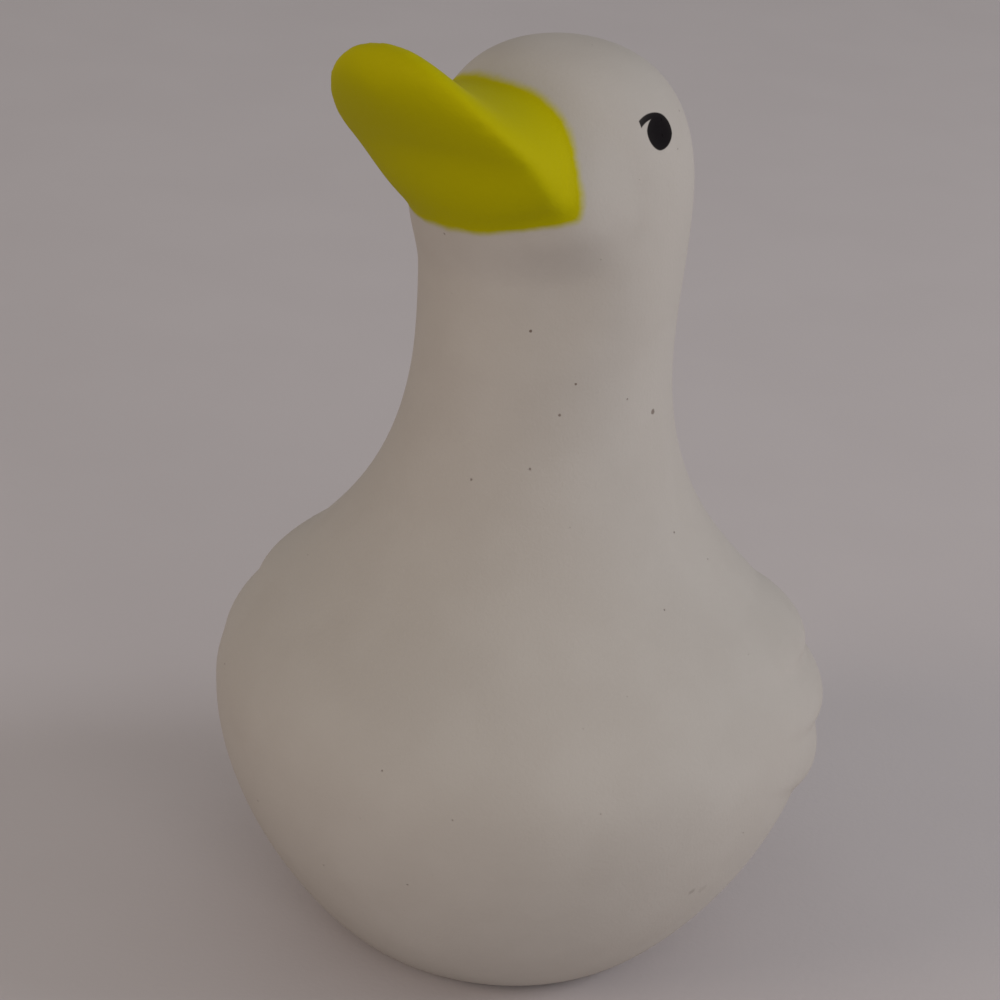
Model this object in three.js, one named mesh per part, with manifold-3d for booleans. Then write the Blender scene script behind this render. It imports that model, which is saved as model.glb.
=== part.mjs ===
// A duck figurine moulded in one piece: a pin-shaped trunk on a flat foot, a broad bill that looks
// up and to one side, three fanned feathers in relief on each flank and a short raised tail.
// Millimetres, +Z up. The chest faces -Y, the duck's left side is +X and the origin is the centre
// of the flat foot.
import * as THREE from "three";
import { mergeVertices } from "three/addons/utils/BufferGeometryUtils.js";
import Module from "manifold-3d";

// Trunk, neck and head: one body of revolution
const FOOT_RADIUS = 16;
const BELLY_RADIUS = 30.7;
const BELLY_HEIGHT = 26.4;
const NECK_RADIUS = 12.6;
const NECK_ABOVE_BELLY = 39;
const HEAD_RADIUS = 13;
const HEAD_ABOVE_NECK = 13.6;
const CROWN_RISE = 15.2;

// How far each bend of the trunk's outline reaches, as a share of its own stretch
const FOOT_BEND = 0.16;
const BELLY_LOWER_BEND = 0.47;
const BELLY_UPPER_BEND = 0.308;
const SHOULDER_BEND = 0.63;
const THROAT_BEND = 0.45;
const CROWN_BEND = 0.67;

// Bill: its turn to the duck's right, its root on the head and the way that it points
const HEAD_TURN = 34;
const BILL_INSET = 2.7;
const BILL_RISE = 3.3;
const BILL_PITCH = 32.5;
const BILL_TILT = 8;
const BILL_LENGTH = 16.3;
const BILL_SEAT = 9;
const BILL_UPTURN = 4.8;

// Bill section at its root, waist and tip: half width, depth above the rim and depth below it
const BILL_ROOT_HALF_WIDTH = 11.3;
const BILL_WAIST_HALF_WIDTH = 12.3;
const BILL_TIP_HALF_WIDTH = 9.1;
const BILL_ROOT_TOP = 10.5;
const BILL_WAIST_TOP = 4.8;
const BILL_TIP_TOP = 3.3;
const BILL_ROOT_UNDER = 5.3;
const BILL_WAIST_UNDER = 1.9;
const BILL_TIP_UNDER = 4.1;

// Feathers on each flank, the upper one first: turn of the root from the chest, its height above
// the belly, dip below level and length
const FEATHERS = [
  { azimuth: 55, rise: 12.3, dip: 6, length: 38 },
  { azimuth: 63, rise: 6.6, dip: 10, length: 33 },
  { azimuth: 62, rise: 2, dip: 15, length: 27 },
];
const FEATHER_HALF_WIDTH = 3.9;
const FEATHER_ROOT_TAPER = 0.4;
const FEATHER_RELIEF = 1.9;
const FEATHER_LEAN = 0.6;
const FEATHER_DEPTH = 2;

// Tail: a flattened, raised point at the back of the belly
const TAIL_BELOW_BELLY = 4;
const TAIL_PITCH = 14;
const TAIL_REACH = 9;
const TAIL_SEAT = 18;
const TAIL_UPTURN = 3;
const TAIL_HALF_WIDTH = 19;
const TAIL_HALF_THICKNESS = 12;
const TAIL_TIP_TAPER = 0.32;

// Facets
const TRUNK_SEGMENTS = 64;
const OUTLINE_STEPS = 9;
const BILL_FACETS = { columns: 32, rows: 24 };
const FEATHER_FACETS = { columns: 16, rows: 12 };
const TAIL_FACETS = { columns: 22, rows: 14 };

const SKIN = { color: 0xd8d3ca, roughness: 0.85, metalness: 0 };

const NECK_HEIGHT = BELLY_HEIGHT + NECK_ABOVE_BELLY;
const HEAD_HEIGHT = NECK_HEIGHT + HEAD_ABOVE_NECK;
const SIDES = { left: 1, right: -1 };

const { lerp, clamp, degToRad } = THREE.MathUtils;
const wasm = await Module();
wasm.setup();

// The trunk's outline from the middle of the foot to the crown, upright at the belly, the neck
// and the head and level at the foot and the crown
function trunkOutline() {
  const footFlare = (BELLY_RADIUS - FOOT_RADIUS) * FOOT_BEND;
  const underBelly = BELLY_HEIGHT * BELLY_LOWER_BEND;
  const overBelly = NECK_ABOVE_BELLY * BELLY_UPPER_BEND;
  const shoulder = NECK_ABOVE_BELLY * SHOULDER_BEND;
  const throat = HEAD_ABOVE_NECK * THROAT_BEND;
  const brow = CROWN_RISE * CROWN_BEND;
  const crown = HEAD_HEIGHT + CROWN_RISE;
  const path = new THREE.Path();
  path.moveTo(0, 0);
  path.lineTo(FOOT_RADIUS, 0);
  path.bezierCurveTo(
    FOOT_RADIUS + footFlare, 0,
    BELLY_RADIUS, BELLY_HEIGHT - underBelly,
    BELLY_RADIUS, BELLY_HEIGHT,
  );
  path.bezierCurveTo(
    BELLY_RADIUS, BELLY_HEIGHT + overBelly,
    NECK_RADIUS, NECK_HEIGHT - shoulder,
    NECK_RADIUS, NECK_HEIGHT,
  );
  path.bezierCurveTo(
    NECK_RADIUS, NECK_HEIGHT + throat,
    HEAD_RADIUS, HEAD_HEIGHT - throat,
    HEAD_RADIUS, HEAD_HEIGHT,
  );
  path.bezierCurveTo(
    HEAD_RADIUS, HEAD_HEIGHT + brow,
    HEAD_RADIUS * CROWN_BEND, crown,
    0, crown,
  );
  return path.getPoints(OUTLINE_STEPS);
}

const outline = trunkOutline();

// The trunk's radius at a height above the foot
function trunkRadius(height) {
  const next = outline.findIndex((point) => point.y > height);
  const above = outline[next];
  const below = outline[next - 1];
  return lerp(below.x, above.x, (height - below.y) / (above.y - below.y));
}

// A value along a curve through its root, waist and tip
function through(root, waist, tip, share) {
  const t = clamp(share, 0, 1);
  return root * (1 - t) * (1 - 2 * t) + waist * 4 * t * (1 - t) + tip * t * (2 * t - 1);
}

// A closed, blunt-ended form from root to tip: place gives the point at a share of the way along
// and at offsets x and z in a round section of radius 1
function moulded({ columns, rows }, place) {
  const ball = new THREE.SphereGeometry(1, columns, rows);
  const corners = ball.getAttribute("position");
  for (let i = 0; i < corners.count; i += 1) {
    const share = (corners.getY(i) + 1) / 2;
    const ring = Math.hypot(corners.getX(i), corners.getZ(i));
    const swell = ring > 0 ? 1 / Math.sqrt(ring) : 0;
    const point = place(share, corners.getX(i) * swell, corners.getZ(i) * swell);
    corners.setXYZ(i, point.x, point.y, point.z);
  }
  return ball;
}

function trunk() {
  return new THREE.LatheGeometry(outline, TRUNK_SEGMENTS).rotateX(Math.PI / 2);
}

// A broad bill, hollowed below and turned up at the tip, on the turned head
function bill() {
  const head = new THREE.Object3D();
  head.position.z = HEAD_HEIGHT;
  head.rotation.z = -degToRad(HEAD_TURN);
  const root = new THREE.Object3D();
  root.position.set(0, BILL_INSET - HEAD_RADIUS, BILL_RISE);
  root.rotation.set(-degToRad(BILL_PITCH), -degToRad(BILL_TILT), 0);
  head.add(root);
  head.updateMatrixWorld();
  const form = moulded(BILL_FACETS, (share, x, z) => {
    const ahead = (BILL_LENGTH + BILL_SEAT) * share - BILL_SEAT;
    const t = ahead / BILL_LENGTH;
    const halfWidth = through(
      BILL_ROOT_HALF_WIDTH, BILL_WAIST_HALF_WIDTH, BILL_TIP_HALF_WIDTH, t,
    );
    const top = through(BILL_ROOT_TOP, BILL_WAIST_TOP, BILL_TIP_TOP, t);
    const under = through(BILL_ROOT_UNDER, BILL_WAIST_UNDER, BILL_TIP_UNDER, t);
    const upturn = BILL_UPTURN * Math.max(t, 0) ** 2;
    const depth = z > 0 ? z * top : -z * z * under;
    return new THREE.Vector3(-x * halfWidth, -ahead, depth + upturn);
  });
  return form.applyMatrix4(root.matrixWorld);
}

// One feather laid on the flank, its relief growing from nothing at the root and leaning to its
// lower edge
function feather(side, { azimuth, rise, dip, length }) {
  const run = Math.cos(degToRad(dip));
  const fall = Math.sin(degToRad(dip));
  return moulded(FEATHER_FACETS, (share, x, z) => {
    const along = length * share;
    const up = -side * x;
    const across = up * FEATHER_HALF_WIDTH * lerp(FEATHER_ROOT_TAPER, 1, share);
    const height = BELLY_HEIGHT + rise - along * fall + across * run;
    const arc = along * run + across * fall;
    const turn = side * (degToRad(azimuth) + arc / BELLY_RADIUS);
    const relief = FEATHER_RELIEF * share ** 2 * (1 - FEATHER_LEAN * up);
    const proud = z * (z > 0 ? relief : FEATHER_DEPTH);
    const radius = trunkRadius(height) + proud;
    return new THREE.Vector3(radius * Math.sin(turn), -radius * Math.cos(turn), height);
  });
}

function wing(side) {
  return FEATHERS.map((shape) => feather(side, shape));
}

function tail() {
  const root = new THREE.Object3D();
  root.position.set(0, BELLY_RADIUS, BELLY_HEIGHT - TAIL_BELOW_BELLY);
  root.rotation.x = degToRad(TAIL_PITCH);
  root.updateMatrixWorld();
  const form = moulded(TAIL_FACETS, (share, x, z) => {
    const taper = lerp(1, TAIL_TIP_TAPER, share);
    const behind = (TAIL_REACH + TAIL_SEAT) * share - TAIL_SEAT;
    const upturn = TAIL_UPTURN * share ** 2;
    return new THREE.Vector3(
      x * TAIL_HALF_WIDTH * taper, behind, z * TAIL_HALF_THICKNESS * taper + upturn,
    );
  });
  return form.applyMatrix4(root.matrixWorld);
}

// A closed geometry as a solid
function solid(geometry) {
  geometry.deleteAttribute("normal");
  geometry.deleteAttribute("uv");
  const merged = mergeVertices(geometry);
  const vertProperties = merged.getAttribute("position").array;
  const triVerts = new Uint32Array(merged.index.array);
  return new wasm.Manifold(new wasm.Mesh({ numProp: 3, vertProperties, triVerts }));
}

// All forms joined into the one moulded piece
function duck() {
  const wings = Object.values(SIDES).flatMap(wing);
  const forms = [trunk(), bill(), ...wings, tail()];
  const whole = forms.map(solid).reduce((joined, form) => joined.add(form));
  const { vertProperties, triVerts } = whole.getMesh();
  const geometry = new THREE.BufferGeometry();
  geometry.setAttribute("position", new THREE.BufferAttribute(vertProperties, 3));
  geometry.setIndex(new THREE.BufferAttribute(triVerts, 1));
  geometry.computeVertexNormals();
  const mesh = new THREE.Mesh(geometry, new THREE.MeshStandardMaterial(SKIN));
  mesh.name = "duck";
  return mesh;
}

const figurine = new THREE.Group();
figurine.add(duck());

export default figurine;
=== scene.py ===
"""A duck figurine moulded in one piece, with a sprayed yellow bill and painted black eyes."""

from functools import reduce
from math import atan2, cos, hypot, pi, radians, sin, sqrt, tan
from typing import NamedTuple

import bmesh
import bpy
from bpy.props import FloatProperty, FloatVectorProperty, PointerProperty
from mathutils import Matrix, Quaternion, Vector
from mathutils.bvhtree import BVHTree
from mathutils.geometry import interpolate_bezier


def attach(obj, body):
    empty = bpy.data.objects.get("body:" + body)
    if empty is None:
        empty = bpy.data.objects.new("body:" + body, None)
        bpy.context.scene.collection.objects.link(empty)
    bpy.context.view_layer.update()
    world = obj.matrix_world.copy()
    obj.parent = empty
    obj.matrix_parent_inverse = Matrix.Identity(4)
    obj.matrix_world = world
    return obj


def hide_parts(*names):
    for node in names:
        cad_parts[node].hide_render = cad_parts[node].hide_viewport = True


bl_info = {
    "name": "Moulded duck figurine",
    "version": (1, 0, 0),
    "blender": (4, 5, 0),
    "location": "3D View > Sidebar > Duck",
    "description": "Makes a soft moulded duck with a sprayed bill and painted eyes, and its stage",
    "category": "Object",
}

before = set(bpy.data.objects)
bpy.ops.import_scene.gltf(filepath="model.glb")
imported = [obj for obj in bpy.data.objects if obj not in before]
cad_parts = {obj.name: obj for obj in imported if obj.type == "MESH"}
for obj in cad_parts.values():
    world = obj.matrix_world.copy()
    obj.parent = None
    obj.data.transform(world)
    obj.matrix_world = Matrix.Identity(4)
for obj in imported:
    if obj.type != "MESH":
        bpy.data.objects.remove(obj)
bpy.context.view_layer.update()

MM = 0.001

# Fineness of the forms before they are fused, and of the skin round them
OUTLINE_STEPS = 48
TRUNK_STEPS = 256
BILL_FACETS = (128, 96)
FEATHER_FACETS = (64, 64)
TAIL_FACETS = (64, 48)
MERGE_GAP = 0.001 * MM
SKIN_VOXEL = 0.48 * MM

# How often the whole skin and its rounded parts are smoothed, and how far each time
SKIN_ROUNDS = 3
BILL_ROUNDS = 24
THROAT_ROUNDS = 24
TAIL_ROUNDS = 100
SMOOTHING = 0.5

# The middle of a cloud's values, and the stretch of them over which each kind of patch fades in
CLOUD_MIDDLE = 0.5
MOTTLE_FADE = (0.35, 0.65)
PIT_FADE = (0.4, 0.7)
FLOOR_FADE = (0.3, 0.7)

# The stretch of facing, from -1 for down to 1 for up, over which painted shade on the bill's
# underside, a darker copy of its paint, gives way to the paint's own colour on its upper side, and
# how far the patches in the paint move it
PAINTED_SHADE_FADE = (-0.5, 0.6)
PAINTED_SHADE_WAVER = 0.3

# The stretch over which a stain fades in, in its radii and with a cloud added
STAIN_FADE = (1.8, 1.2)

# Nearest that the camera sees, as a share of its distance
CAMERA_CLIP = 0.1


class Stain(NamedTuple):
    """A stain on the trunk: its turn from the chest in degrees, its height and radius in
    millimetres, and its strength."""

    azimuth: float
    height: float
    radius: float
    strength: float


STAINS = (
    Stain(azimuth=8, height=69.8, radius=0.14, strength=0.85),
    Stain(azimuth=29.3, height=64.9, radius=0.12, strength=0.8),
    Stain(azimuth=23.4, height=61.8, radius=0.14, strength=0.7),
    Stain(azimuth=72.5, height=60.5, radius=0.28, strength=0.7),
    Stain(azimuth=55.9, height=16.3, radius=0.4, strength=0.25),
    Stain(azimuth=59.3, height=15.9, radius=0.5, strength=0.12),
)


def length(name, description, millimetres):
    """A size in metres that is written here in millimetres."""
    return FloatProperty(
        name=name,
        description=description,
        default=millimetres * MM,
        precision=4,
        subtype="DISTANCE",
    )


def lengths(name, description, *millimetres):
    """Three sizes in metres that are written here in millimetres."""
    return FloatVectorProperty(
        name=name,
        description=description,
        default=[size * MM for size in millimetres],
        precision=4,
        subtype="XYZ_LENGTH",
    )


def turn(name, description, degree):
    """An angle that is written here in degrees."""
    return FloatProperty(
        name=name, description=description, default=radians(degree), subtype="ANGLE"
    )


def turns(name, description, *degrees):
    """Three angles that are written here in degrees."""
    return FloatVectorProperty(
        name=name,
        description=description,
        default=[radians(degree) for degree in degrees],
        subtype="EULER",
    )


def share(name, description, part):
    """A share from none to the whole."""
    return FloatProperty(
        name=name, description=description, default=part, min=0, max=1, subtype="FACTOR"
    )


def power(name, description, exponent):
    """The exponent of a curve."""
    return FloatProperty(name=name, description=description, default=exponent, min=0.5, max=4)


def colour(name, description, red, green, blue):
    """A colour in linear light."""
    return FloatVectorProperty(
        name=name,
        description=description,
        default=(red, green, blue),
        min=0,
        max=1,
        subtype="COLOR",
    )


class TrunkSizes(bpy.types.PropertyGroup):
    """Foot, belly, neck and head as one turned form"""

    foot_radius: length("Foot radius", "Radius of the flat foot", 16)
    belly_radius: length("Belly radius", "Radius of the belly where it is widest", 30.7)
    belly_height: length("Belly height", "Height of the widest part of the belly", 26.4)
    neck_radius: length("Neck radius", "Radius of the neck where it is slimmest", 12.6)
    neck_rise: length("Neck rise", "Height of the slimmest neck above the belly", 39)
    head_radius: length("Head radius", "Radius of the head where it is widest", 13)
    head_rise: length("Head rise", "Height of the widest head above the neck", 13.6)
    crown_rise: length("Crown rise", "Height of the crown above the widest head", 15.2)
    foot_bend: share("Foot bend", "How far the foot runs level into the belly", 0.16)
    under_bend: share("Under bend", "How far the belly stays upright below", 0.47)
    over_bend: share("Over bend", "How far the belly stays upright above", 0.308)
    shoulder_bend: share("Shoulder bend", "How far the neck stays upright below", 0.63)
    throat_bend: share("Throat bend", "How far neck and head stay upright between", 0.45)
    crown_bend: share("Crown bend", "How square the crown is", 0.67)


class BillSizes(bpy.types.PropertyGroup):
    """The broad bill on the turned head"""

    head_turn: turn("Head turn", "Turn of the bill to the duck's right", 34)
    inset: length("Inset", "Depth of the bill's root inside the head", 2.7)
    rise: length("Rise", "Height of the bill's root above the widest head", 3.3)
    pitch: turn("Pitch", "How far the bill looks up", 32.5)
    tilt: turn("Tilt", "How far the bill leans to its side", 8)
    reach: length("Reach", "Length of the bill from its root to its tip", 17)
    seat: length("Seat", "Length of the bill behind its root", 9)
    upturn: length("Upturn", "How far the tip turns up", 4.8)
    softness: length("Softness", "How far back from its tip the bill is rounded off", 19)
    root_half_width: length("Root half width", "Half the width at the root", 11.3)
    waist_half_width: length("Waist half width", "Half the width midway", 12.3)
    tip_half_width: length("Tip half width", "Half the width at the tip", 9.4)
    root_top: length("Root top", "Depth above the rim at the root", 11.3)
    waist_top: length("Waist top", "Depth above the rim midway", 4.8)
    tip_top: length("Tip top", "Depth above the rim at the tip", 3.9)
    root_under: length("Root under", "Depth below the rim at the root", 4.7)
    waist_under: length("Waist under", "Depth below the rim midway", 2.2)
    tip_under: length("Tip under", "Depth below the rim at the tip", 4.1)
    root_peak: power("Root peak", "1 for a round top at the root, more for a peak", 1.16)
    root_hollow: power("Root hollow", "1 for a round underside at the root, more for a hollow", 2)
    tip_hollow: power("Tip hollow", "1 for a round underside at the tip, more for a hollow", 1.2)


class ThroatSizes(bpy.types.PropertyGroup):
    """The fuller throat under the bill"""

    drop: length("Drop", "Depth of the fullest line below the bill's root", 1.4)
    right_turn: turn("Right turn", "Turn from the bill to the right end of that line", 40)
    left_turn: turn("Left turn", "Turn from the bill to the left end of that line", 48)
    reach: length("Reach", "How far the fullness runs from that line", 8.5)
    right_swell: length("Right swell", "How far the throat stands out at the right end", 1.2)
    left_swell: length("Left swell", "How far the throat stands out at the left end", 2)
    hollow_drop: length("Hollow drop", "Depth of the throat's hollow below that line", 9)
    hollow: length("Hollow", "How far the throat draws in at the hollow's left end", 1)
    softness: length("Softness", "How far from that line the throat is rounded off", 3.5)


class WingSizes(bpy.types.PropertyGroup):
    """Three feathers in low relief on each flank, the upper one first"""

    azimuths: turns("Azimuths", "Turn of each feather's root from the chest", 55, 63, 62)
    rises: lengths("Rises", "Height of each root above the widest belly", 12.3, 6.6, 2)
    dips: turns("Dips", "Dip of each feather below level", 6, 10, 15)
    reaches: lengths("Reaches", "Length of each feather", 38, 33, 27)
    half_width: length("Half width", "Half the width of a feather at its tip", 3.9)
    root_taper: share("Root taper", "Width at the root as a share of the tip's", 0.4)
    relief: length("Relief", "Height of a feather above the flank at its tip", 1.9)
    lean: share("Lean", "How far the relief leans to the lower edge", 0.6)
    depth: length("Depth", "Depth of a feather inside the flank", 2)


class TailSizes(bpy.types.PropertyGroup):
    """The short raised tail"""

    drop: length("Drop", "Depth of the tail's root below the widest belly", 4)
    pitch: turn("Pitch", "How far the tail looks up", 14)
    reach: length("Reach", "Length of the tail outside the belly", 9)
    seat: length("Seat", "Length of the tail inside the belly", 18)
    upturn: length("Upturn", "How far the tip turns up", 3)
    half_width: length("Half width", "Half the width at the root", 19)
    half_thickness: length("Half thickness", "Half the thickness at the root", 12)
    tip_taper: share("Tip taper", "Size of the tip as a share of the root's", 0.32)
    softness: length("Softness", "How far from the root's crease the tail is rounded off", 7)


class EyeSizes(bpy.types.PropertyGroup):
    """The painted dot on each side of the head, and the lash that curls forward from its top"""

    azimuth: turn("Azimuth", "Turn of a dot from the bill", 101.8)
    rise: length("Rise", "Height of a dot above the widest head", 9.24)
    half_length: length("Half length", "Half the dot's longer width", 1.92)
    half_width: length("Half width", "Half the dot's shorter width", 1.62)
    roundness: power("Roundness", "2 for an oval dot, less for a pointed one", 1.75)
    tilt: turn("Tilt", "Turn of the dot's longer width above level", 24.8)
    lash_reach: length("Lash reach", "From the dot's middle forward to the lash's end", 2.28)
    lash_radius: length("Lash radius", "Radius of the lash's curve", 3.4)
    lash_lead: length("Lash lead", "Middle of the lash's curve ahead of the dot's", 0.6)
    lash_drop: length("Lash drop", "Middle of the lash's curve below the dot's", 1.79)
    lash_root: length("Lash root", "From the dot's middle back to where the lash starts", 0.8)
    lash_half_width: length("Lash half width", "Half the width of the lash's stroke", 0.29)
    edge: length("Edge", "How far the black fades out at its edge", 0.12)


class SkinLooks(bpy.types.PropertyGroup):
    """The moulded skin and the paint sprayed on its bill, with painted shade on the bill's
    underside
    """

    skin: colour("Skin", "The bare moulded skin", 0.49, 0.45, 0.41)
    shade: colour("Shade", "The skin's duller patches", 0.475, 0.434, 0.394)
    pit: colour("Pit", "The inside of a pinhole", 0.13, 0.09, 0.07)
    # The bill's paint shows its own colour on the upper side; the darker copy for the underside is
    # painted shade.
    bill: colour("Bill", "The paint on the upper side of the bill", 0.472, 0.416, 0.001)
    bill_painted_shade: colour("Bill under", "The paint on the underside of the bill", 0.4, 0.359, 0.001)
    eye: colour("Eye", "The paint of the eyes and lashes", 0.006, 0.004, 0.005)
    skin_roughness: share("Skin roughness", "Roughness of the bare skin", 0.72)
    bill_roughness: share("Bill roughness", "Roughness of the bill's paint", 0.6)
    eye_roughness: share("Eye roughness", "Roughness of the eyes' paint", 0.55)
    grain_roughness: share("Grain roughness", "How much the grain varies the roughness", 0.12)
    gloss: share("Gloss", "How much the skin and its paint mirror", 0.03)
    mottle_patch: length("Mottle patch", "Size of the skin's duller patches", 9)
    mottle_depth: length("Mottle depth", "Height of the skin's slow waves", 0.08)
    grain_size: length("Grain size", "Size of the skin's fine grain", 0.35)
    grain_depth: length("Grain depth", "Height of the skin's fine grain", 0.025)
    pit_spacing: length("Pit spacing", "From one pinhole to the next", 2.4)
    pit_radius: length("Pit radius", "Radius of the larger pinholes", 0.12)
    pit_strength: share("Pit strength", "How dark a pinhole is", 0.6)
    pit_depth: length("Pit depth", "Depth of a pinhole", 0.12)
    spray_reach: length("Spray reach", "How far the bill's paint runs past its root", 0.5)
    spray_lean: FloatVectorProperty(
        name="Spray lean",
        description="How much further the bill's paint runs for each step along X, Y and Z",
        default=(0.012, 0, 0.02),
        subtype="XYZ",
    )
    spray_edge: length("Spray edge", "How far the bill's paint fades out at its edge", 0.75)
    spray_waver: length("Spray waver", "How far the edge of the bill's paint wavers", 0.5)
    spray_patch: length("Spray patch", "Size of the patches in the bill's paint", 2.2)


class StageLooks(bpy.types.PropertyGroup):
    """Floor, camera and lamps: the one beside the duck, then the cool and the warm one in front"""

    floor: colour("Floor", "The floor under the duck", 0.58, 0.53, 0.53)
    floor_shade: colour("Floor shade", "The floor's duller patches", 0.57, 0.52, 0.52)
    floor_patch: length("Floor patch", "Size of the floor's duller patches", 25)
    floor_grain: length("Floor grain", "Size of the floor's fine grain", 0.6)
    floor_depth: length("Floor depth", "Height of the floor's fine grain", 0.02)
    floor_roughness: share("Floor roughness", "Roughness of the floor", 0.9)
    floor_half_width: length("Floor half width", "Half the width of the floor", 2000)
    air: colour("Air", "Light from all round", 0.371, 0.369, 0.366)
    side_light: colour("Side light", "Colour of the lamp beside the duck", 0.914, 0.933, 1)
    cool_light: colour("Cool light", "Colour of the cool lamp in front", 1, 0.99, 0.98)
    warm_light: colour("Warm light", "Colour of the warm lamp in front", 1, 0.83, 0.684)
    lamp_powers: FloatVectorProperty(
        name="Lamp powers",
        description="What each lamp gives off",
        default=(1.95, 1.12, 1.2),
        unit="POWER",
    )
    lamp_azimuths: turns("Lamp azimuths", "Turn of each lamp to the duck's left", 105, 45, -45)
    lamp_elevations: turns("Lamp elevations", "Height of each lamp's place", 25, 10, 25)
    lamp_distance: length("Lamp distance", "From each lamp to the duck's middle", 800)
    lamp_width: length("Lamp width", "Width of each lamp's round face", 350)
    azimuth: turn("Azimuth", "The camera's turn to the duck's left", 15)
    elevation: turn("Elevation", "The camera's height above the horizon", 25)
    roll: turn("Roll", "The camera's turn about its line of sight", 4.54)
    target: lengths("Target", "The point that the camera looks at", -2.97, -0.79, 46.7)
    distance: length("Distance", "From the camera to its target", 280)
    lens: FloatProperty(
        name="Lens", description="The camera's focal length", default=100.8, unit="CAMERA"
    )


def along(root, waist, tip, part):
    """A value on a curve through its root, waist and tip."""
    t = min(max(part, 0), 1)
    return root * (1 - t) * (1 - 2 * t) + waist * 4 * t * (1 - t) + tip * t * (2 * t - 1)


def between(start, end, part):
    """A value on a straight line from start to end."""
    return start + (end - start) * part


def direction(azimuth, elevation):
    """The way to a place, by its turn from the chest to the duck's left and its elevation."""
    level = cos(elevation)
    return Vector((sin(azimuth) * level, -cos(azimuth) * level, sin(elevation)))


def head_height(trunk):
    """Height of the widest part of the head."""
    return trunk.belly_height + trunk.neck_rise + trunk.head_rise


def bill_height(trunk, bill):
    """Height of the bill's root."""
    return head_height(trunk) + bill.rise


def trunk_outline(sizes):
    """Points of the trunk's outline in the XZ plane, from the middle of the foot to the crown."""
    up = Vector((0, 0, 1))
    out = Vector((1, 0, 0))
    foot = out * sizes.foot_radius
    belly = out * sizes.belly_radius + up * sizes.belly_height
    neck = out * sizes.neck_radius + up * (sizes.belly_height + sizes.neck_rise)
    head = out * sizes.head_radius + up * head_height(sizes)
    crown = up * (head_height(sizes) + sizes.crown_rise)
    flare = out * (sizes.belly_radius - sizes.foot_radius) * sizes.foot_bend
    throat = up * sizes.head_rise * sizes.throat_bend
    stretches = (
        (foot, foot + flare, belly - up * sizes.belly_height * sizes.under_bend, belly),
        (
            belly,
            belly + up * sizes.neck_rise * sizes.over_bend,
            neck - up * sizes.neck_rise * sizes.shoulder_bend,
            neck,
        ),
        (neck, neck + throat, head - throat, head),
        (
            head,
            head + up * sizes.crown_rise * sizes.crown_bend,
            crown + out * sizes.head_radius * sizes.crown_bend,
            crown,
        ),
    )
    outline = [Vector((0, 0, 0)), foot]
    for stretch in stretches:
        outline += interpolate_bezier(*stretch, OUTLINE_STEPS)[1:]
    return outline


def trunk_radius(outline, height):
    """The trunk's radius at a height above the foot."""
    above = next(i for i, point in enumerate(outline) if point.z > height)
    low, high = outline[above - 1], outline[above]
    return between(low.x, high.x, (height - low.z) / (high.z - low.z))


def turned(outline):
    """The form that an outline in the XZ plane sweeps round the Z axis."""
    form = bmesh.new()
    corners = [form.verts.new(point) for point in outline]
    edges = [form.edges.new(pair) for pair in zip(corners, corners[1:])]
    bmesh.ops.spin(
        form,
        geom=corners + edges,
        cent=(0, 0, 0),
        axis=(0, 0, 1),
        angle=2 * pi,
        steps=TRUNK_STEPS,
        use_merge=True,
    )
    bmesh.ops.remove_doubles(form, verts=form.verts, dist=MERGE_GAP)
    bmesh.ops.recalc_face_normals(form, faces=form.faces)
    return form


def moulded(facets, place):
    """A closed, blunt-ended form: place gives the point at a share of the way from root to tip
    and at offsets across and up in a round section of radius 1."""
    form = bmesh.new()
    columns, rows = facets
    bmesh.ops.create_uvsphere(form, u_segments=columns, v_segments=rows, radius=1)
    for corner in form.verts:
        across, up, lengthwise = corner.co
        ring = hypot(across, up)
        swell = 1 / sqrt(ring) if ring > 0 else 0
        corner.co = place((lengthwise + 1) / 2, across * swell, up * swell)
    bmesh.ops.recalc_face_normals(form, faces=form.faces)
    return form


def bill_seat(trunk, sizes):
    """The place and turn of the bill's root on the head, the bill looking along -Y."""
    head = Matrix.Rotation(-sizes.head_turn, 4, "Z")
    root = Matrix.Translation(
        (0, sizes.inset - trunk.head_radius, bill_height(trunk, sizes))
    )
    aim = Matrix.Rotation(-sizes.pitch, 4, "X") @ Matrix.Rotation(-sizes.tilt, 4, "Y")
    return head @ root @ aim


def bill_form(trunk, sizes):
    """The broad bill, hollowed below and turned up at the tip."""

    def place(part, across, up):
        ahead = (sizes.reach + sizes.seat) * part - sizes.seat
        t = ahead / sizes.reach
        half_width = along(
            sizes.root_half_width, sizes.waist_half_width, sizes.tip_half_width, t
        )
        top = along(sizes.root_top, sizes.waist_top, sizes.tip_top, t)
        under = along(sizes.root_under, sizes.waist_under, sizes.tip_under, t)
        upturn = sizes.upturn * max(t, 0) ** 2
        peak = between(sizes.root_peak, 1, max(t, 0))
        hollow = between(sizes.root_hollow, sizes.tip_hollow, max(t, 0))
        depth = up**peak * top if up > 0 else -((-up) ** hollow) * under
        return across * half_width, -ahead, depth + upturn

    form = moulded(BILL_FACETS, place)
    bmesh.ops.transform(form, matrix=bill_seat(trunk, sizes), verts=form.verts)
    return form


def feather_form(outline, trunk, sizes, side, number):
    """One feather laid on a flank, its relief growing from nothing at the root and leaning to its
    lower edge."""
    run = cos(sizes.dips[number])
    fall = sin(sizes.dips[number])
    root_height = trunk.belly_height + sizes.rises[number]

    def place(part, across, up):
        way = sizes.reaches[number] * part
        aside = across * sizes.half_width * between(sizes.root_taper, 1, part)
        height = root_height - way * fall + aside * run
        arc = way * run + aside * fall
        azimuth = side * (sizes.azimuths[number] + arc / trunk.belly_radius)
        relief = sizes.relief * part**2 * (1 - sizes.lean * across)
        proud = up * (relief if up > 0 else sizes.depth)
        radius = trunk_radius(outline, height) + proud
        return radius * sin(azimuth), -radius * cos(azimuth), height

    return moulded(FEATHER_FACETS, place)


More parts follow.
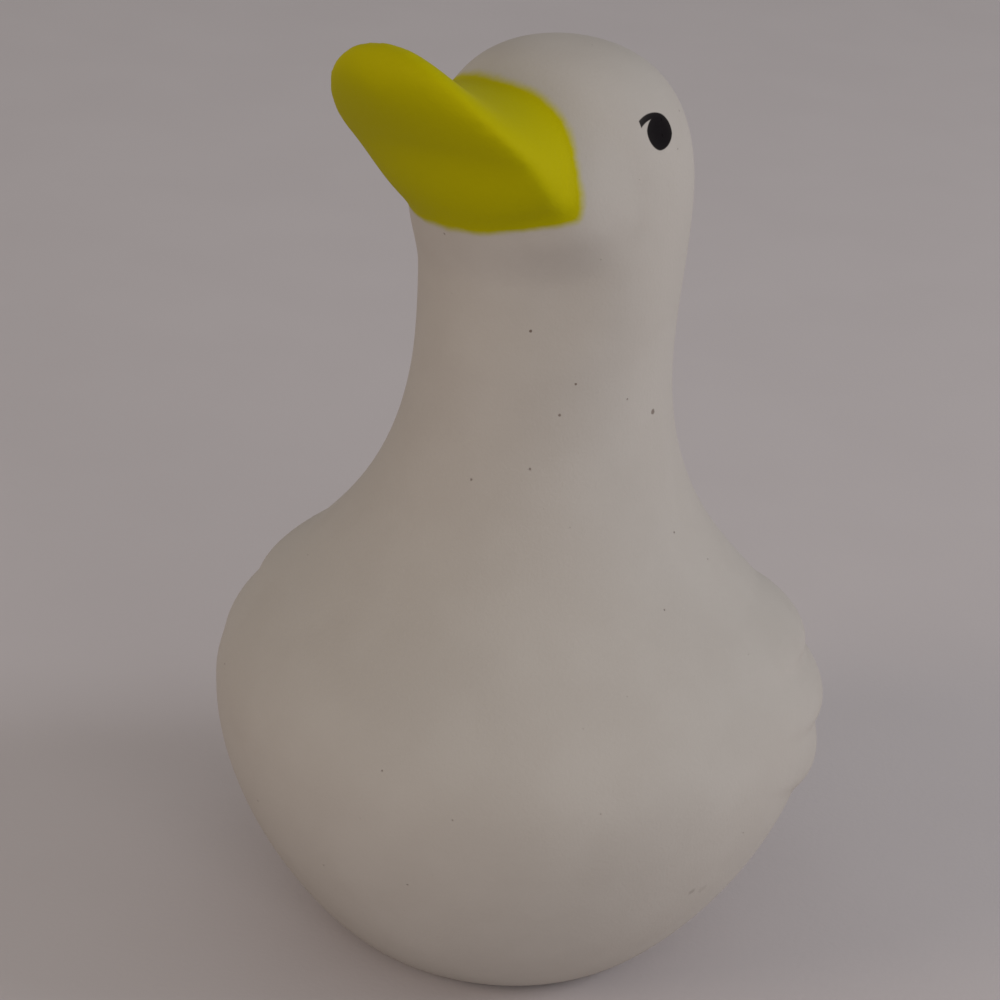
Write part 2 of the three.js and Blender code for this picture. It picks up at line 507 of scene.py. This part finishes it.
def wing_forms(outline, trunk, sizes):
    """The feathers of both wings."""
    return [
        feather_form(outline, trunk, sizes, side, number)
        for side in (1, -1)
        for number in range(len(sizes.reaches))
    ]


def tail_form(trunk, sizes):
    """The short tail at the back of the belly."""

    def place(part, across, up):
        taper = between(1, sizes.tip_taper, part)
        behind = (sizes.reach + sizes.seat) * part - sizes.seat
        height = up * sizes.half_thickness * taper + sizes.upturn * part**2
        return across * sizes.half_width * taper, behind, height

    form = moulded(TAIL_FACETS, place)
    root = Matrix.Translation((0, trunk.belly_radius, trunk.belly_height - sizes.drop))
    aim = Matrix.Rotation(sizes.pitch, 4, "X")
    bmesh.ops.transform(form, matrix=root @ aim, verts=form.verts)
    return form


def fused(name, forms):
    """One closed skin round all the forms, with its creases softened."""
    mesh = bpy.data.meshes.new(name)
    joined = bmesh.new()
    for form in forms:
        form.to_mesh(mesh)
        joined.from_mesh(mesh)
    joined.to_mesh(mesh)
    joined.free()
    piece = bpy.data.objects.new(name, mesh)
    bpy.context.scene.collection.objects.link(piece)
    fuse = piece.modifiers.new("Fuse", "REMESH")
    fuse.mode = "VOXEL"
    fuse.voxel_size = SKIN_VOXEL
    soften = piece.modifiers.new("Soften", "SMOOTH")
    soften.factor = SMOOTHING
    soften.iterations = SKIN_ROUNDS
    finished = piece.evaluated_get(bpy.context.evaluated_depsgraph_get())
    piece.data = bpy.data.meshes.new_from_object(finished)
    piece.modifiers.clear()
    piece.data.shade_smooth()
    bpy.data.meshes.remove(mesh)
    return piece


def round_off(piece, away, reach, rounds):
    """Rounds a piece off where it is less far away than a reach, the more the less far."""
    form = bmesh.new()
    form.from_mesh(piece.data)
    distances = [(corner, away(corner.co)) for corner in form.verts]
    for part in range(rounds):
        limit = reach * (1 - part / rounds)
        distances = [(corner, distance) for corner, distance in distances if distance < limit]
        bmesh.ops.smooth_vert(
            form,
            verts=[corner for corner, distance in distances],
            factor=SMOOTHING,
            use_axis_x=True,
            use_axis_y=True,
            use_axis_z=True,
        )
    form.to_mesh(piece.data)
    form.free()


def round_bill(piece, trunk, sizes):
    """Rounds off the bill's rim, the more the nearer to its tip."""
    unseated = bill_seat(trunk, sizes).inverted()

    def behind_tip(place):
        return sizes.reach + (unseated @ place).y

    round_off(piece, behind_tip, sizes.softness, BILL_ROUNDS)


def round_tail(piece, tail, trunk, sizes):
    """Rounds off the crease between the tail and the trunk."""
    trees = [BVHTree.FromBMesh(form) for form in (tail, trunk)]

    def from_crease(place):
        return max(tree.find_nearest(place)[3] for tree in trees)

    round_off(piece, from_crease, sizes.softness, TAIL_ROUNDS)


def nearness(place, middle, reach):
    """All at a middle, falling smoothly to none at a reach from it."""
    away = min((place - middle).length / reach, 1)
    return (1 - away**2) ** 2


def fill_throat(piece, outline, trunk, bill, sizes):
    """Fills the throat out along a line under the bill, hollows it below and rounds it off."""
    middle_height = bill_height(trunk, bill) - sizes.drop
    radius = trunk_radius(outline, middle_height)
    slant = tan(bill.tilt)

    def azimuth(place):
        return atan2(place.x, -place.y)

    def leftward(place):
        aside = azimuth(place) + bill.head_turn
        part = (aside + sizes.right_turn) / (sizes.left_turn + sizes.right_turn)
        return min(max(part, 0), 1)

    def fullest(place):
        aside = between(-sizes.right_turn, sizes.left_turn, leftward(place))
        on_line = direction(aside - bill.head_turn, 0) * radius
        on_line.z = middle_height + sin(aside) * radius * slant
        return on_line

    def from_line(place):
        return (place - fullest(place)).length

    below = Vector((0, 0, -sizes.hollow_drop))
    for corner in piece.data.vertices:
        place = corner.co.copy()
        line = fullest(place)
        swell = between(sizes.right_swell, sizes.left_swell, leftward(place))
        swell *= nearness(place, line, sizes.reach)
        draw = sizes.hollow * leftward(place) * nearness(place, line + below, sizes.reach)
        corner.co += direction(azimuth(place), 0) * (swell - draw)
    round_off(piece, from_line, sizes.softness, THROAT_ROUNDS)


def note_spray(piece, bill, trunk, root_height, looks):
    """Keeps how far each point lies past the edge of the bill's paint, as the attribute spray."""
    bill_tree = BVHTree.FromBMesh(bill)
    trunk_tree = BVHTree.FromBMesh(trunk)
    lean = Vector(looks.spray_lean)
    past_edge = []
    for corner in piece.data.vertices:
        past_root = bill_tree.find_nearest(corner.co)[3] - trunk_tree.find_nearest(corner.co)[3]
        reach = looks.spray_reach + corner.co.dot(lean) - root_height * lean.z
        past_edge.append(past_root - reach)
    noted = piece.data.attributes.new("spray", "FLOAT", "POINT")
    noted.data.foreach_set("value", past_edge)


class Shade:
    """A value or colour on a surface. Python's arithmetic on it adds Math nodes."""

    def __init__(self, tree, socket=None):
        self.tree = tree
        self.socket = socket

    def node(self, kind, settings, values, output=0):
        """An output of a new node: its settings come first, then the values or links of its
        sockets, each by its name or its place."""
        made = self.tree.nodes.new(kind)
        for name, setting in settings.items():
            setattr(made, name, setting)
        sockets = [socket for socket in made.inputs if socket.enabled]
        places = {socket.name: place for place, socket in enumerate(sockets)}
        for key, value in values.items():
            socket = sockets[places.get(key, key)]
            if isinstance(value, Shade):
                self.tree.links.new(value.socket, socket)
            else:
                socket.default_value = value
        outputs = [socket for socket in made.outputs if socket.enabled]
        names = {socket.name: place for place, socket in enumerate(outputs)}
        return Shade(self.tree, outputs[names.get(output, output)])

    def math(self, operation, *values):
        return self.node("ShaderNodeMath", {"operation": operation}, dict(enumerate(values)))

    def __add__(self, other):
        return self.math("ADD", self, other)

    def __sub__(self, other):
        return self.math("SUBTRACT", self, other)

    def __rsub__(self, other):
        return self.math("SUBTRACT", other, self)

    def __mul__(self, other):
        return self.math("MULTIPLY", self, other)

    def __truediv__(self, other):
        return self.math("DIVIDE", self, other)

    def __rtruediv__(self, other):
        return self.math("DIVIDE", other, self)

    def __pow__(self, power):
        return self.math("POWER", self, power)

    def __abs__(self):
        return self.math("ABSOLUTE", self)

    __radd__ = __add__
    __rmul__ = __mul__


def fade(value, start, end):
    """None to all, smoothly, as a value goes from start to end."""
    return value.node(
        "ShaderNodeMapRange",
        {"interpolation_type": "SMOOTHSTEP"},
        {"Value": value, "From Min": start, "From Max": end},
    )


def blend(start, end, part):
    """A colour from start to end."""
    colours = {"A": start, "B": end}
    for name, value in colours.items():
        if not isinstance(value, Shade):
            colours[name] = (*value, 1)
    return part.node("ShaderNodeMix", {"data_type": "RGBA"}, {"Factor": part, **colours})


def cloud(where, patch, detail=2):
    """Random soft patches of about a size, from 0 to 1."""
    scale = {"Vector": where, "Scale": 1 / patch, "Detail": detail}
    return where.node("ShaderNodeTexNoise", {}, scale)


def either(*masks):
    """Covers what any of the masks covers."""
    return reduce(lambda one, other: one.math("MAXIMUM", one, other), masks)


def run_along(where, start, axis):
    """How far a place lies from a start along an axis."""
    reach = where.node(
        "ShaderNodeVectorMath", {"operation": "DOT_PRODUCT"}, {0: where, 1: axis}, "Value"
    )
    return reach - start.dot(axis)


class Eye(NamedTuple):
    """An eye's middle on the head and the ways back, up and out from it."""

    middle: Vector
    back: Vector
    up: Vector
    out: Vector


def eye_on_head(outline, trunk, bill, sizes, side):
    """The eye on one side of the bill, square to the head's skin."""
    step = SKIN_VOXEL
    height = head_height(trunk) + sizes.rise
    radius = trunk_radius(outline, height)
    widening = trunk_radius(outline, height + step) - trunk_radius(outline, height - step)
    slope = widening / (2 * step)
    azimuth = side * sizes.azimuth - bill.head_turn
    level = direction(azimuth, 0)
    upright = Vector((0, 0, 1))
    return Eye(
        middle=level * radius + upright * height,
        back=level.cross(upright) * -side,
        up=(level * slope + upright).normalized(),
        out=(level - upright * slope).normalized(),
    )


def eye_mask(where, eye, sizes):
    """Covers an eye's dot and its lash."""
    aside = run_along(where, eye.middle, eye.back)
    above = run_along(where, eye.middle, eye.up)
    outside = run_along(where, eye.middle, eye.out)
    lengthwise = (aside * cos(sizes.tilt) + above * sin(sizes.tilt)) / sizes.half_length
    crosswise = (above * cos(sizes.tilt) - aside * sin(sizes.tilt)) / sizes.half_width
    power = sizes.roundness
    upright = abs(lengthwise + crosswise) / sqrt(2)
    level = abs(lengthwise - crosswise) / sqrt(2)
    size = (upright**power + level**power) ** (1 / power)
    half_edge = sizes.edge / 2
    rim = half_edge / sizes.half_width
    dot = fade(size, 1 + rim, 1 - rim)
    lead = aside + sizes.lash_lead
    drop = above + sizes.lash_drop
    from_curve = abs((lead * lead + drop * drop) ** 0.5 - sizes.lash_radius)
    stroke = fade(from_curve, sizes.lash_half_width + half_edge, sizes.lash_half_width - half_edge)
    behind_end = fade(aside, -sizes.lash_reach - half_edge, half_edge - sizes.lash_reach)
    ahead_of_root = fade(aside, sizes.lash_root + sizes.half_width / 2, sizes.lash_root)
    lash = stroke * behind_end * ahead_of_root * fade(above, 0, sizes.edge)
    near = fade(outside, -sizes.half_length, 0)
    return either(dot, lash) * near


def stain_place(piece, outline, stain):
    """Where a stain lies on the finished skin."""
    height = stain.height * MM
    on_trunk = direction(radians(stain.azimuth), 0) * trunk_radius(outline, height)
    on_trunk.z = height
    return piece.closest_point_on_mesh(on_trunk)[1]


def stain_mask(where, place, stain):
    """Covers a stain, with a ragged edge."""
    away = where.node(
        "ShaderNodeVectorMath", {"operation": "DISTANCE"}, {0: where, 1: place}, "Value"
    )
    radius = stain.radius * MM
    ragged = away / radius + cloud(where, radius)
    return fade(ragged, *STAIN_FADE) * stain.strength


def skin_material(looks, eyes, eye_sizes, stain_places):
    """Matte moulded skin with fine pinholes, a sprayed bill with painted shade on its underside,
    and painted eyes.
    """
    material = bpy.data.materials.new("duck_skin")
    material.use_nodes = True
    tree = material.node_tree
    shader = tree.nodes["Principled BSDF"]
    surface = Shade(tree)
    where = surface.node("ShaderNodeTexCoord", {}, {}, "Object")

    mottle = cloud(where, looks.mottle_patch)
    grain = cloud(where, looks.grain_size, 1)
    from_pit = where.node(
        "ShaderNodeTexVoronoi", {}, {"Vector": where, "Scale": 1 / looks.pit_spacing}
    )
    pit_size = fade(cloud(where, looks.pit_spacing * 2), *PIT_FADE) * looks.pit_radius
    past_pit = from_pit * looks.pit_spacing - pit_size
    pit_edge = looks.pit_radius / 2
    pits = fade(past_pit, pit_edge, -pit_edge) * looks.pit_strength
    stains = [stain_mask(where, place, stain) for place, stain in zip(stain_places, STAINS)]

    past_edge = surface.node("ShaderNodeAttribute", {"attribute_name": "spray"}, {}, "Fac")
    patches = cloud(where, looks.spray_patch) - CLOUD_MIDDLE
    wavering = past_edge + patches * looks.spray_waver
    spray = fade(wavering, looks.spray_edge / 2, -looks.spray_edge / 2)
    black = either(*(eye_mask(where, eye, eye_sizes) for eye in eyes))
    bare_pits = pits * (1 - spray)

    skin = blend(looks.skin, looks.shade, fade(mottle, *MOTTLE_FADE))
    pitted = blend(skin, looks.pit, either(bare_pits, *stains))
    # Painted shade on the bill: by which way the surface faces, its paint darkens from its own
    # colour on top to a darker copy underneath.
    outward = surface.node("ShaderNodeNewGeometry", {}, {}, "Normal")
    upward = outward.node("ShaderNodeSeparateXYZ", {}, {"Vector": outward}, "Z")
    facing = fade(upward + patches * PAINTED_SHADE_WAVER, *PAINTED_SHADE_FADE)
    yellow = blend(looks.bill_painted_shade, looks.bill, facing)
    sprayed = blend(pitted, yellow, spray)
    painted = blend(sprayed, looks.eye, black)
    dull = looks.skin_roughness + (grain - CLOUD_MIDDLE) * looks.grain_roughness
    roughness = (
        dull
        - spray * (looks.skin_roughness - looks.bill_roughness)
        - black * (looks.skin_roughness - looks.eye_roughness)
    )
    height = grain * looks.grain_depth + mottle * looks.mottle_depth - bare_pits * looks.pit_depth
    normal = height.node("ShaderNodeBump", {}, {"Distance": 1, "Height": height})

    shader.inputs["Specular IOR Level"].default_value = looks.gloss
    tree.links.new(painted.socket, shader.inputs["Base Color"])
    tree.links.new(roughness.socket, shader.inputs["Roughness"])
    tree.links.new(normal.socket, shader.inputs["Normal"])
    return material


def floor_material(looks):
    """Pale matte paper with a faint tooth."""
    material = bpy.data.materials.new("floor")
    material.use_nodes = True
    tree = material.node_tree
    shader = tree.nodes["Principled BSDF"]
    where = Shade(tree).node("ShaderNodeTexCoord", {}, {}, "Object")
    grain = cloud(where, looks.floor_grain)
    patches = fade(cloud(where, looks.floor_patch), *FLOOR_FADE)
    paper = blend(looks.floor, looks.floor_shade, patches)
    height = grain * looks.floor_depth
    normal = height.node("ShaderNodeBump", {}, {"Distance": 1, "Height": height})
    shader.inputs["Roughness"].default_value = looks.floor_roughness
    tree.links.new(paper.socket, shader.inputs["Base Color"])
    tree.links.new(normal.socket, shader.inputs["Normal"])
    return material


def make_floor(scene, looks):
    """The floor that the duck stands on."""
    form = bmesh.new()
    bmesh.ops.create_grid(form, x_segments=1, y_segments=1, size=looks.floor_half_width)
    mesh = bpy.data.meshes.new("floor")
    form.to_mesh(mesh)
    form.free()
    mesh.materials.append(floor_material(looks))
    floor = bpy.data.objects.new("floor", mesh)
    scene.collection.objects.link(floor)


def make_lamps(scene, looks, middle):
    """Three round lamps that face the duck's middle."""
    lights = {
        "side_lamp": looks.side_light,
        "cool_lamp": looks.cool_light,
        "warm_lamp": looks.warm_light,
    }
    for number, (name, light) in enumerate(lights.items()):
        away = direction(looks.lamp_azimuths[number], looks.lamp_elevations[number])
        lamp = bpy.data.lights.new(name, "AREA")
        lamp.shape = "DISK"
        lamp.size = looks.lamp_width
        lamp.energy = looks.lamp_powers[number]
        lamp.color = light
        held = bpy.data.objects.new(name, lamp)
        held.location = middle + away * looks.lamp_distance
        held.rotation_euler = (-away).to_track_quat("-Z", "Y").to_euler()
        scene.collection.objects.link(held)


def make_camera(scene, looks):
    """The camera at the photograph's angle."""
    away = direction(looks.azimuth, looks.elevation)
    camera = bpy.data.objects.new("camera", bpy.data.cameras.new("camera"))
    camera.data.lens = looks.lens
    camera.data.clip_start = looks.distance * CAMERA_CLIP
    camera.location = Vector(looks.target) + away * looks.distance
    aim = (-away).to_track_quat("-Z", "Y") @ Quaternion((0, 0, 1), looks.roll)
    camera.rotation_euler = aim.to_euler()
    scene.collection.objects.link(camera)
    scene.camera = camera


def make_air(scene, looks):
    """Even light from all round."""
    world = bpy.data.worlds.new("world")
    world.use_nodes = True
    world.node_tree.nodes["Background"].inputs["Color"].default_value = (*looks.air, 1)
    scene.world = world


class DUCK_OT_skin(bpy.types.Operator):
    """Makes the moulded duck with its paint"""

    bl_idname = "duck.skin"
    bl_label = "Make the duck"

    def execute(self, context):
        scene = context.scene
        trunk_sizes = scene.duck_trunk
        bill_sizes = scene.duck_bill
        outline = trunk_outline(trunk_sizes)
        trunk = turned(outline)
        bill = bill_form(trunk_sizes, bill_sizes)
        wings = wing_forms(outline, trunk_sizes, scene.duck_wings)
        tail = tail_form(trunk_sizes, scene.duck_tail)
        forms = (trunk, bill, *wings, tail)
        piece = fused("duck_skin", forms)

        root_height = bill_height(trunk_sizes, bill_sizes)
        note_spray(piece, bill, trunk, root_height, scene.duck_looks)
        round_bill(piece, trunk_sizes, bill_sizes)
        round_tail(piece, tail, trunk, scene.duck_tail)
        fill_throat(piece, outline, trunk_sizes, bill_sizes, scene.duck_throat)
        for form in forms:
            form.free()

        eyes = [
            eye_on_head(outline, trunk_sizes, bill_sizes, scene.duck_eyes, side)
            for side in (1, -1)
        ]
        stains = [stain_place(piece, outline, stain) for stain in STAINS]
        piece.data.materials.append(skin_material(scene.duck_looks, eyes, scene.duck_eyes, stains))
        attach(piece, "root")
        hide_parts("duck")
        return {"FINISHED"}


class DUCK_OT_stage(bpy.types.Operator):
    """Makes the floor, the lamps and the camera"""

    bl_idname = "duck.stage"
    bl_label = "Make the stage"

    def execute(self, context):
        scene = context.scene
        looks = scene.duck_stage
        middle = Vector((0, 0, scene.duck_trunk.belly_height + scene.duck_trunk.neck_rise / 2))
        make_floor(scene, looks)
        make_lamps(scene, looks, middle)
        make_camera(scene, looks)
        make_air(scene, looks)
        scene.view_settings.view_transform = "Standard"
        return {"FINISHED"}


class DUCK_PT_sidebar(bpy.types.Panel):
    """Lists the duck's sizes and looks, and what makes it"""

    bl_idname = "DUCK_PT_sidebar"
    bl_label = "Duck"
    bl_space_type = "VIEW_3D"
    bl_region_type = "UI"
    bl_category = "Duck"

    def draw(self, context):
        for operator in OPERATORS:
            self.layout.operator(operator.bl_idname)
        for name, group in SETTINGS.items():
            box = self.layout.box()
            box.label(text=group.__doc__)
            settings = getattr(context.scene, name)
            for size in group.__annotations__:
                box.prop(settings, size)


SETTINGS = {
    "duck_trunk": TrunkSizes,
    "duck_bill": BillSizes,
    "duck_throat": ThroatSizes,
    "duck_wings": WingSizes,
    "duck_tail": TailSizes,
    "duck_eyes": EyeSizes,
    "duck_looks": SkinLooks,
    "duck_stage": StageLooks,
}
OPERATORS = (DUCK_OT_skin, DUCK_OT_stage)


def register():
    for group in (*SETTINGS.values(), *OPERATORS, DUCK_PT_sidebar):
        bpy.utils.register_class(group)
    for name, group in SETTINGS.items():
        setattr(bpy.types.Scene, name, PointerProperty(type=group))


def unregister():
    for name in SETTINGS:
        delattr(bpy.types.Scene, name)
    for group in (DUCK_PT_sidebar, *OPERATORS, *SETTINGS.values()):
        bpy.utils.unregister_class(group)


def main():
    register()
    bpy.ops.duck.skin()
    bpy.ops.duck.stage()


if __name__ == "__main__":
    main()
